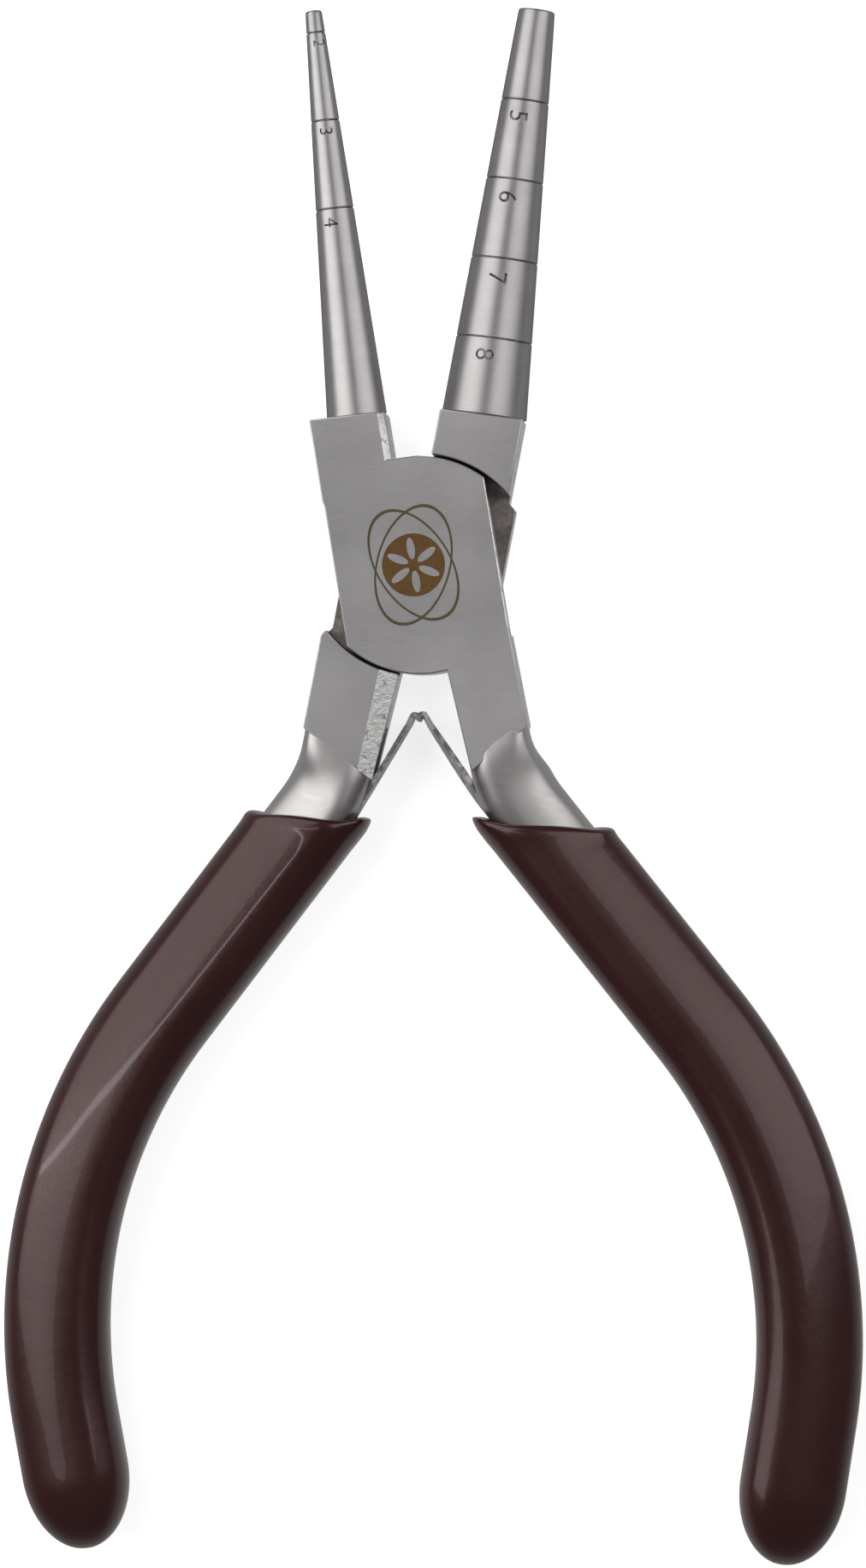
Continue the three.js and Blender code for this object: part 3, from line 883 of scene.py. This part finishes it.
def leaf_tip(half):
    own_side = -half.side * (LEAF_TIP_RADIUS + LEAF_GAP / 2)
    meet = LEAF_MEET + Vector((own_side, 0))
    return Matrix.Rotation(-half.open, 2) @ meet


def leaf_closed_tip(half, line):
    start, offset = leaf_foot(half, line)
    bend = line.beside(start, offset)[0]
    length = (leaf_tip(half) - bend).length
    x = LEAF_CLOSED_X - half.side * (LEAF_TIP_RADIUS + LEAF_GAP / 2)
    return Vector((x, bend.y + sqrt(length ** 2 - (x - bend.x) ** 2)))


def leaf_path(half):
    """Plan points of the strip's middle, from the end of the foot to the curled tip."""
    line = HandleLine(half)
    start, offset = leaf_foot(half, line)
    bend = line.beside(start, offset)[0]
    foot = line.beside(start + LEAF_FOOT_LENGTH, offset)[0]
    tip = leaf_tip(half)
    blade = (tip - bend).normalized()
    shank = (foot - bend).normalized()
    points = [foot, bend + shank * LEAF_BEND_ROUND * 2]
    for i in range(1, 8):
        t = i / 8
        points.append(
            bend + shank * LEAF_BEND_ROUND * (1 - t) ** 2 + blade * LEAF_BEND_ROUND * t ** 2
        )
    reach = (tip - bend).length
    for i in range(1, 12):
        points.append(bend + blade * (LEAF_BEND_ROUND + (reach - LEAF_BEND_ROUND) * i / 12))
    own = Vector((-half.side, 0))
    aside = (own - blade * own.dot(blade)).normalized()
    for i in range(9):
        angle = LEAF_CURL_SWEEP * i / 8
        points.append(tip + aside * LEAF_CURL * cos(angle) + blade * LEAF_CURL * sin(angle))
    return points, bend, blade


def leaf_spring(half, materials):
    points, bend, blade = leaf_path(half)
    count = len(points) - 1
    bm = bmesh.new()
    bmesh.ops.create_grid(bm, x_segments=count, y_segments=LEAF_ACROSS, size=0.5)
    for vert in bm.verts:
        place = round((vert.co.x + 0.5) * count)
        point = points[place]
        across = vert.co.y * LEAF_WIDTH
        twist = half.leaf_twist * ease((place - 6) / 6) * ease((count - place) / 16)
        aside = Vector((-blade.y, blade.x)) * across * sin(twist)
        vert.co = Vector((point.x + aside.x, point.y + aside.y, MID_Z + across * cos(twist)))
    bmesh.ops.recalc_face_normals(bm, faces=bm.faces)
    bmesh.ops.solidify(bm, geom=bm.faces[:], thickness=LEAF_THICKNESS)
    bmesh.ops.recalc_face_normals(bm, faces=bm.faces)
    obj = new_object(half.hand + "_leaf", bm)
    smooth(obj, 40)
    put_in_place(obj, half)
    name = half.hand + "_leaf_spring"
    finish_piece(obj, name + "_strip", None, materials, [name])
    turn = Matrix.Rotation(half.open, 2)
    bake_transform(obj)
    return obj


def spring_rivet(half, materials):
    line = HandleLine(half)
    start, offset = leaf_foot(half, line)
    point, _, inward = line.beside(start + LEAF_RIVET_OFFSET, offset + LEAF_THICKNESS / 2)
    profile = [
        (0, -3.0), (0.9, -3.0), (0.9, 0.05),
        (1.7, 0.05), (1.66, 0.2), (1.36, 0.4), (0.7, 0.47), (0, 0.5),
    ]
    obj = new_object("spring_rivet", turned(profile, 32, (0, 1, 0)))
    smooth(obj, 35)
    turn = Matrix.Rotation(atan2(-inward.x, inward.y), 4, "Z")
    obj.data.transform(Matrix.Translation((point.x, point.y, MID_Z)) @ turn)
    put_in_place(obj, half)
    name = half.hand + "_spring_rivet"
    return finish_piece(obj, name + "_head", half.body, materials, [name])


# ---------------------------------------------------------------- finishes

class Finish:
    """A node material whose patterns come from the piece's own Object coordinates."""

    def __init__(self, name, **shader):
        self.material = bpy.data.materials.new(name)
        self.material.use_nodes = True
        self.tree = self.material.node_tree
        self.tree.nodes.clear()
        output = self.tree.nodes.new("ShaderNodeOutputMaterial")
        self.shader = self.tree.nodes.new("ShaderNodeBsdfPrincipled")
        self.tree.links.new(self.shader.outputs["BSDF"], output.inputs["Surface"])
        self.coords = self.tree.nodes.new("ShaderNodeTexCoord").outputs["Object"]
        for socket, value in shader.items():
            self.shader.inputs[socket.replace("_", " ")].default_value = value

    def node(self, kind, inputs, **settings):
        made = self.tree.nodes.new(kind)
        for name, value in settings.items():
            setattr(made, name, value)
        for name, value in inputs.items():
            if isinstance(value, bpy.types.NodeSocket):
                self.tree.links.new(value, made.inputs[name])
            else:
                made.inputs[name].default_value = value
        return made

    def drive(self, socket, value):
        self.tree.links.new(value, self.shader.inputs[socket])

    def stretched(self, scale, turn=0.0, vector=None):
        inputs = {"Vector": vector or self.coords, "Scale": scale, "Rotation": (0, 0, turn)}
        return self.node("ShaderNodeMapping", inputs).outputs["Vector"]

    def noise(self, scale, detail=3.0, roughness=0.55, vector=None):
        inputs = {
            "Vector": vector or self.coords, "Scale": scale, "Detail": detail, "Roughness": roughness,
        }
        return self.node("ShaderNodeTexNoise", inputs).outputs["Fac"]

    def spread(self, value, low, high, to_low, to_high):
        inputs = {
            "Value": value, "From Min": low, "From Max": high, "To Min": to_low, "To Max": to_high,
        }
        return self.node("ShaderNodeMapRange", inputs).outputs["Result"]

    def mixed(self, factor, first, second):
        made = self.tree.nodes.new("ShaderNodeMix")
        made.data_type = "RGBA"
        self.tree.links.new(factor, made.inputs[0])
        for index, value in ((6, first), (7, second)):
            if isinstance(value, bpy.types.NodeSocket):
                self.tree.links.new(value, made.inputs[index])
            else:
                made.inputs[index].default_value = (*value, 1)
        return made.outputs[2]

    def total(self, first, second, weight):
        """The first value plus the second times the weight."""
        made = self.tree.nodes.new("ShaderNodeMath")
        made.operation = "MULTIPLY_ADD"
        self.tree.links.new(second, made.inputs[0])
        made.inputs[1].default_value = weight
        self.tree.links.new(first, made.inputs[2])
        return made.outputs["Value"]

    def bump(self, height, distance, strength=1.0):
        inputs = {"Height": height, "Distance": distance, "Strength": strength}
        self.drive("Normal", self.node("ShaderNodeBump", inputs).outputs["Normal"])


def ground_steel():
    """Satin plate steel with fine grinding lines across it and a few deeper scratches."""
    finish = Finish("ground_steel", Metallic=1.0)
    lines = finish.noise(1.0, 4, 0.6, finish.stretched((900, 9000, 900), radians(12)))
    cross = finish.noise(1.0, 3, 0.6, finish.stretched((7000, 500, 700), radians(35)))
    cloud = finish.noise(140, 4)
    broad = finish.spread(finish.noise(38, 2, 0.5), 0.35, 0.65, 0, 1)
    dull = finish.mixed(cloud, (0.32, 0.31, 0.312), (0.38, 0.368, 0.37))
    lighter = finish.mixed(cloud, (0.46, 0.445, 0.45), (0.53, 0.515, 0.52))
    tone = finish.mixed(broad, dull, lighter)
    glint = finish.spread(lines, 0.3, 0.75, 0, 0.4)
    finish.drive("Base Color", finish.mixed(glint, tone, (0.56, 0.545, 0.55)))
    finish.drive("Roughness", finish.spread(finish.total(lines, cloud, 0.6), 0.4, 1.1, 0.34, 0.5))
    finish.bump(finish.total(lines, cross, 0.6), 0.000008, 0.35)
    return finish.material


def cast_steel():
    """Forged sides left rough, bright on the high spots and dark in the pits."""
    finish = Finish("forged_side", Metallic=1.0)
    grain = finish.noise(2600, 5, 0.65)
    pits = finish.noise(900, 4, 0.7)
    dark = finish.spread(pits, 0.32, 0.46, 0.25, 1)
    finish.drive("Base Color", finish.mixed(dark, (0.12, 0.11, 0.1), (0.82, 0.81, 0.8)))
    finish.drive("Roughness", finish.spread(grain, 0.3, 0.7, 0.28, 0.5))
    finish.bump(finish.total(grain, pits, 1.2), 0.00006, 0.8)
    return finish.material


def lap_steel():
    """The milled faces inside the lap, dull and dark brown-grey: painted shade in the recess."""
    finish = Finish("shaded_lap_steel", Metallic=0.9)
    lap_noise = finish.noise(420, 4, 0.6)
    lines = finish.noise(1.0, 3, 0.6, finish.stretched((900, 6000, 900), radians(-20)))
    lighter = finish.spread(lap_noise, 0.35, 0.65, 0, 1)
    # Painted recess shade, dark brown-grey and lighter in patches.
    finish.drive("Base Color", finish.mixed(lighter, (0.10, 0.085, 0.078), (0.24, 0.215, 0.2)))
    finish.drive("Roughness", finish.spread(lines, 0.3, 0.7, 0.4, 0.6))
    finish.bump(lines, 0.00001, 0.4)
    return finish.material


def polished_steel():
    """Bright round shank, with soft belt lines across it."""
    finish = Finish("polished_shank", Metallic=1.0)
    belt = finish.noise(1.0, 3, 0.5, finish.stretched((700, 3600, 700), radians(20)))
    cloud = finish.noise(160, 3)
    finish.drive("Base Color", finish.mixed(cloud, (0.45, 0.435, 0.43), (0.54, 0.525, 0.52)))
    finish.drive("Roughness", finish.spread(finish.total(belt, cloud, 0.5), 0.4, 1.0, 0.34, 0.44))
    finish.bump(belt, 0.000006, 0.25)
    return finish.material


def turned_steel(half):
    """Fine tool lines round the mandrel, by distance along its own axis."""
    finish = Finish("turned_steel_" + half.name, Metallic=1.0, Specular_Tint=(0.5, 0.49, 0.49, 1))
    seat, direction, _ = mandrel_axis(half)
    turn = Matrix.Rotation(half.open, 2)
    at = turn @ seat * MM
    way = turn @ direction
    inputs = {
        "Vector": finish.coords, "Location": (at.x, at.y, MID_Z * MM),
        "Rotation": (0, 0, atan2(-way.x, way.y)),
    }
    own = finish.node("ShaderNodeMapping", inputs, vector_type="TEXTURE").outputs["Vector"]
    lines = finish.noise(1.0, 3, 0.6, finish.stretched((60, 11000, 60), vector=own))
    bands = finish.noise(1.0, 3, 0.5, finish.stretched((30, 1500, 30), vector=own))
    tone = finish.mixed(bands, (0.37, 0.358, 0.357), (0.45, 0.436, 0.435))
    smudge = finish.spread(finish.noise(260, 4), 0.35, 0.7, 0, 0.5)
    patchy = finish.mixed(smudge, tone, (0.31, 0.298, 0.297))
    glint = finish.spread(lines, 0.3, 0.7, 0, 0.4)
    finish.drive("Base Color", finish.mixed(glint, patchy, (0.52, 0.505, 0.505)))
    finish.drive("Roughness", finish.spread(lines, 0.3, 0.7, 0.32, 0.42))
    finish.bump(finish.total(lines, bands, 0.4), 0.000005, 0.3)
    return finish.material


def engraved_dark():
    """Dark colour in the engraved rings and numerals; in the ring grooves it is painted shade."""
    finish = Finish("engraved_dark", Metallic=0.6)
    groove_grain = finish.noise(3000, 4)
    patchy = finish.spread(finish.noise(1100, 3), 0.45, 0.62, 0, 0.8)
    # Painted groove shade, near black, lighter in patches.
    dark = finish.mixed(groove_grain, (0.02, 0.016, 0.016), (0.085, 0.078, 0.078))
    finish.drive("Base Color", finish.mixed(patchy, dark, (0.3, 0.28, 0.28)))
    finish.drive("Roughness", finish.spread(groove_grain, 0.3, 0.7, 0.45, 0.7))
    finish.bump(groove_grain, 0.00002, 0.5)
    return finish.material


def ornament_fill():
    """Gold-brown tint in the etched rosette."""
    finish = Finish("etched_gold", Metallic=0.75)
    grain = finish.noise(2400, 4)
    finish.drive("Base Color", finish.mixed(grain, (0.12, 0.062, 0.02), (0.22, 0.122, 0.045)))
    finish.drive("Roughness", finish.spread(grain, 0.3, 0.7, 0.36, 0.55))
    finish.bump(grain, 0.00002, 0.5)
    return finish.material


def ornament_line():
    """Dark olive tint in the etched ovals."""
    finish = Finish("etched_olive", Metallic=0.6)
    grain = finish.noise(2400, 4)
    finish.drive("Base Color", finish.mixed(grain, (0.09, 0.07, 0.035), (0.17, 0.13, 0.06)))
    finish.drive("Roughness", finish.spread(grain, 0.3, 0.7, 0.4, 0.6))
    finish.bump(grain, 0.00002, 0.5)
    return finish.material


def spring_steel():
    """Dark tempered strip, scuffed bright in places."""
    finish = Finish("spring_steel", Metallic=1.0)
    scuff = finish.noise(700, 5, 0.65)
    fine = finish.noise(4000, 3)
    bright = finish.spread(scuff, 0.45, 0.62, 0, 1)
    finish.drive("Base Color", finish.mixed(bright, (0.2, 0.185, 0.18), (0.62, 0.6, 0.59)))
    finish.drive("Roughness", finish.spread(fine, 0.3, 0.7, 0.28, 0.45))
    finish.bump(finish.total(fine, scuff, 0.8), 0.00002, 0.6)
    return finish.material


def vinyl():
    """Glossy dipped vinyl, thick and slightly uneven, dark maroon."""
    finish = Finish(
        "dipped_vinyl", Coat_Weight=0.3, Coat_Roughness=0.05, IOR=1.56, Specular_Tint=(1, 0.74, 0.74, 1),
    )
    cloud = finish.noise(60, 4)
    peel = finish.noise(420, 3, 0.5)
    dust = finish.noise(5200, 2, 0.6)
    tone = finish.mixed(cloud, (0.024, 0.0038, 0.0044), (0.04, 0.0075, 0.0084))
    specks = finish.spread(dust, 0.66, 0.76, 0, 0.5)
    finish.drive("Base Color", finish.mixed(specks, tone, (0.06, 0.02, 0.02)))
    finish.drive("Roughness", finish.spread(finish.total(cloud, dust, 0.3), 0.35, 0.9, 0.2, 0.34))
    finish.bump(finish.total(peel, dust, 0.06), 0.00009, 0.35)
    return finish.material


def pale_floor():
    finish = Finish("pale_floor", Roughness=0.85, Emission_Color=(1, 1, 1, 1), Emission_Strength=0.72)
    cloud = finish.noise(6, 2)
    finish.drive("Base Color", finish.mixed(cloud, (0.93, 0.93, 0.93), (0.95, 0.95, 0.95)))
    return finish.material


# ---------------------------------------------------------------- floor, light and camera

FLOOR_HALF_SIDE = 2.5


def floor(height):
    """A pale sheet under the lowest piece, left out of the object's reflections."""
    bm = bmesh.new()
    bmesh.ops.create_grid(bm, x_segments=8, y_segments=8, size=FLOOR_HALF_SIDE)
    bmesh.ops.translate(bm, vec=(0, 0, height), verts=bm.verts)
    obj = new_object("floor", bm)
    obj.data.materials.append(pale_floor())
    obj.visible_glossy = False


def softbox(name, at, aim, width, height, power):
    data = bpy.data.lights.new(name, "AREA")
    data.shape = "RECTANGLE"
    data.size = width
    data.size_y = height
    data.energy = power
    light = bpy.data.objects.new(name, data)
    light.location = at
    light.rotation_euler = (Vector(aim) - Vector(at)).to_track_quat("-Z", "Y").to_euler()
    light.visible_camera = False
    bpy.context.scene.collection.objects.link(light)


# Name, place, width, height in metres, and power in watts.
LIGHT_AIM = (0, -0.02, 0.005)
LIGHTS = (
    ("left_softbox", (-0.56, 0.27, 0.56), 1.1, 0.95, 5.0),
    ("right_softbox", (0.58, 0.21, 0.56), 0.44, 1.05, 2.3),
    ("left_strip", (-0.50, 0.05, 0.62), 0.02, 1.1, 0.55),
)

# The world is even, but brighter below than above; it fades between these directions' heights.
SKY_GLOW = 0.13
GROUND_GLOW = 0.42
GROUND_HEADING = -0.35
SKY_HEADING = 0.1


def lights():
    for name, at, width, height, power in LIGHTS:
        softbox(name, at, LIGHT_AIM, width, height, power)
    world = bpy.data.worlds.new("studio")
    world.use_nodes = True
    tree = world.node_tree
    background = tree.nodes["Background"]
    background.inputs["Color"].default_value = (1, 1, 1, 1)
    direction = tree.nodes.new("ShaderNodeTexCoord").outputs["Generated"]
    parts = tree.nodes.new("ShaderNodeSeparateXYZ")
    fade = tree.nodes.new("ShaderNodeMapRange")
    fade.inputs["From Min"].default_value = GROUND_HEADING
    fade.inputs["From Max"].default_value = SKY_HEADING
    fade.inputs["To Min"].default_value = GROUND_GLOW
    fade.inputs["To Max"].default_value = SKY_GLOW
    tree.links.new(direction, parts.inputs["Vector"])
    tree.links.new(parts.outputs["Z"], fade.inputs["Value"])
    tree.links.new(fade.outputs["Result"], background.inputs["Strength"])
    bpy.context.scene.world = world
    bpy.context.scene.view_settings.view_transform = "Standard"


CAMERA_TILT = radians(3)
CAMERA_TARGET = Vector((1.19, -22.9, 4.7))
CAMERA_DISTANCE = 687.7
CAMERA_LENS = 150
SENSOR_HEIGHT = 36


def camera():
    data = bpy.data.cameras.new("camera")
    data.lens = CAMERA_LENS
    data.sensor_fit = "VERTICAL"
    data.sensor_height = SENSOR_HEIGHT
    data.clip_start = 0.01
    view = bpy.data.objects.new("camera", data)
    away = Vector((sin(CAMERA_TILT), 0, cos(CAMERA_TILT)))
    view.location = (CAMERA_TARGET + away * CAMERA_DISTANCE) * MM
    view.rotation_euler = (0, CAMERA_TILT, 0)
    bpy.context.scene.collection.objects.link(view)
    bpy.context.scene.camera = view


# ---------------------------------------------------------------- assembly

steel_slots = [
    ground_steel(), cast_steel(), polished_steel(), ornament_fill(), ornament_line(), lap_steel(),
]
engraved = engraved_dark()
strip = spring_steel()
dip = vinyl()

steel_half(front, steel_slots)
steel_half(back, steel_slots)
pivot_rivet([steel_slots[FACE]])
mandrel(front, "small_mandrel_turned", "small_mandrel", [turned_steel(front), engraved])
mandrel(back, "large_mandrel_turned", "large_mandrel", [turned_steel(back), engraved])
for side_half in (front, back):
    grip(side_half, [dip])
    leaf_spring(side_half, [strip])
    spring_rivet(side_half, [strip])

shown_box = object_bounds()
floor(shown_box[0][2])
lights()
camera()
